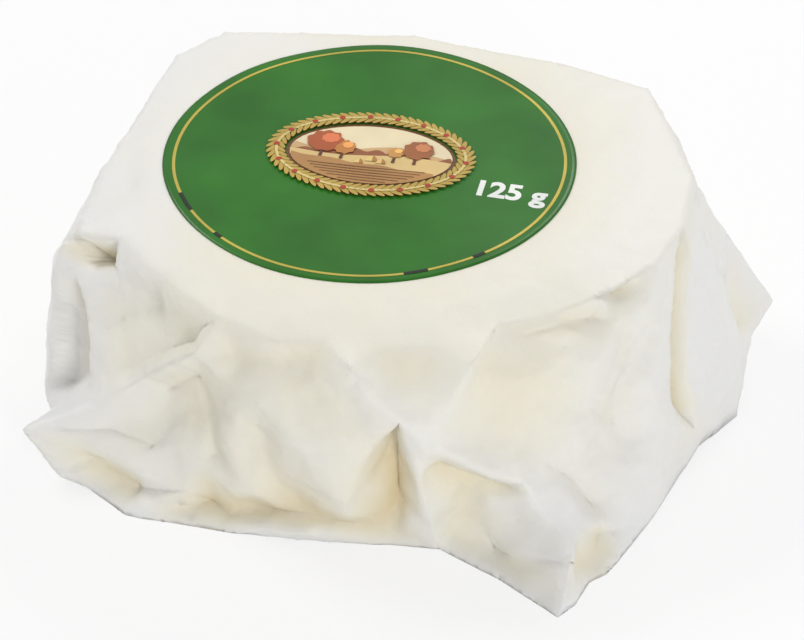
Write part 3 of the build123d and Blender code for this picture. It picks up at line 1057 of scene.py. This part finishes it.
leaf_row("garland_ground", (13.0, 8.6), (1.5, 0.95), 60, 0, leaf_dark, 1)
leaf_row("garland_outer", (13.6, 9.1), (1.25, 0.36), 62, -38, leaf_gold, 11)
leaf_row("garland_inner", (12.5, 8.1), (1.15, 0.34), 58, 38, leaf_gold, 12)
leaf_row("garland_stem", (13.0, 8.6), (0.75, 0.22), 84, 0, leaf_pale, 13)
berry_red = print_material("berries", (0.42, 0.05, 0.02))
leaf_row("garland_berries", (13.1, 8.7), (0.42, 0.42), 18, 0, berry_red, 14)

# The weight, printed in white beside the picture.
weight_right = 20.0        # its middle, from the label's
weight_back = -4.1
weight_wide = 9.4
weight_tall = 3.4
letters = bpy.data.curves.new("weight", "FONT")
letters.body = "125 g"
letters.size = 1.4 * weight_tall
letters.offset = 0.05 * weight_tall
letters.align_x = "CENTER"
letters.align_y = "CENTER"
letters_holder = bpy.data.objects.new("weight_text", letters)
bpy.context.collection.objects.link(letters_holder)
letters_shape = letters_holder.evaluated_get(bpy.context.evaluated_depsgraph_get())
letters_mesh = bpy.data.meshes.new_from_object(letters_shape)
letter_faces = [list(polygon.vertices) for polygon in letters_mesh.polygons]
letter_xs = [vertex.co.x for vertex in letters_mesh.vertices]
across = max(letter_xs) - min(letter_xs)
letter_flat = [(vertex.co.x * weight_wide / across + weight_right, vertex.co.y + weight_back)
               for vertex in letters_mesh.vertices]
bpy.data.objects.remove(letters_holder)
piece_of("printed_weight", on_label(letter_flat, print_lift), letter_faces,
         print_material("white print", (0.82, 0.84, 0.80)))

# ---------------------------------------------------------------------------------------------
# The studio: a pale table in a soft white room, a softbox above to the left, a wide one behind, a
# third that fills the shaded right front, and the camera.


def table_material():
    """A white table that keeps the shadow and goes to plain white away from it."""
    material = bpy.data.materials.new("pale table")
    material.use_nodes = True
    nodes, links = material.node_tree.nodes, material.node_tree.links
    shader = nodes["Principled BSDF"]
    shader.inputs["Base Color"].default_value = (0.9, 0.9, 0.9, 1)
    shader.inputs["Roughness"].default_value = 0.9
    white = add(nodes, "ShaderNodeEmission", Color=(1, 1, 1, 1), Strength=1.0)
    path = nodes.new("ShaderNodeLightPath")
    seen = add(nodes, "ShaderNodeMath", operation="MAXIMUM")
    share = add(nodes, "ShaderNodeMath", operation="MULTIPLY")
    share.inputs[1].default_value = 0.72
    mixed = nodes.new("ShaderNodeMixShader")
    links.new(path.outputs["Is Camera Ray"], seen.inputs[0])
    links.new(path.outputs["Is Glossy Ray"], seen.inputs[1])
    links.new(seen.outputs["Value"], share.inputs[0])
    links.new(share.outputs["Value"], mixed.inputs["Fac"])
    links.new(shader.outputs["BSDF"], mixed.inputs[1])
    links.new(white.outputs["Emission"], mixed.inputs[2])
    links.new(mixed.outputs["Shader"], nodes["Material Output"].inputs["Surface"])
    return material


half_table = 2.0
table_mesh = bpy.data.meshes.new("table")
table_corners = [(x * half_table, y * half_table, 0) for x, y in ((-1, -1), (1, -1), (1, 1), (-1, 1))]
table_mesh.from_pydata(table_corners, [], [(0, 1, 2, 3)])
table_mesh.materials.append(table_material())
table = bpy.data.objects.new("table", table_mesh)
bpy.context.collection.objects.link(table)

world = bpy.data.worlds.new("soft room")
bpy.context.scene.world = world
world.use_nodes = True
nodes, links = world.node_tree.nodes, world.node_tree.links
room = nodes["Background"]
room.inputs["Color"].default_value = (1, 1, 1, 1)
room.inputs["Strength"].default_value = 0.56
backdrop = add(nodes, "ShaderNodeBackground", Color=(1, 1, 1, 1), Strength=1.0)
path = nodes.new("ShaderNodeLightPath")
mixed = nodes.new("ShaderNodeMixShader")
links.new(path.outputs["Is Camera Ray"], mixed.inputs["Fac"])
links.new(room.outputs["Background"], mixed.inputs[1])
links.new(backdrop.outputs["Background"], mixed.inputs[2])
links.new(mixed.outputs["Shader"], nodes["World Output"].inputs["Surface"])


def soft_lamp(name, place, size, power):
    """A square softbox that faces the block."""
    light = bpy.data.lights.new(name, "AREA")
    light.size = size
    light.energy = power
    lamp = bpy.data.objects.new(name, light)
    lamp.location = place
    block_middle = Vector((0, 0, 0.02))
    lamp.rotation_euler = (block_middle - Vector(place)).to_track_quat("-Z", "Y").to_euler()
    bpy.context.collection.objects.link(lamp)
    return lamp


soft_lamp("overhead softbox", (-0.55, 0.1, 0.6), 0.22, 1.9)
soft_lamp("back softbox", (0.05, 0.75, 0.6), 0.4, 2.6)
fill = soft_lamp("front softbox", (0.65, -0.6, 0.3), 0.22, 2.6)
fill.visible_glossy = False    # the label doesn't shine with it

camera_place = Vector((172.8, -369.0, 318.4))      # from the foot of the block's axis
turn = math.radians(25)                            # the view from the right of the front
rise = math.radians(37)                            # and from above
back = Vector((math.sin(turn) * math.cos(rise), -math.cos(turn) * math.cos(rise), math.sin(rise)))
camera_data = bpy.data.cameras.new("camera")
camera_data.sensor_width = 36.0
camera_data.lens = 165.5
camera_data.clip_start = 0.01
camera = bpy.data.objects.new("camera", camera_data)
camera.location = (block_axis + camera_place) * MM
camera.rotation_euler = back.to_track_quat("Z", "Y").to_euler()
bpy.context.collection.objects.link(camera)
bpy.context.scene.camera = camera

bpy.context.scene.view_settings.view_transform = "Standard"
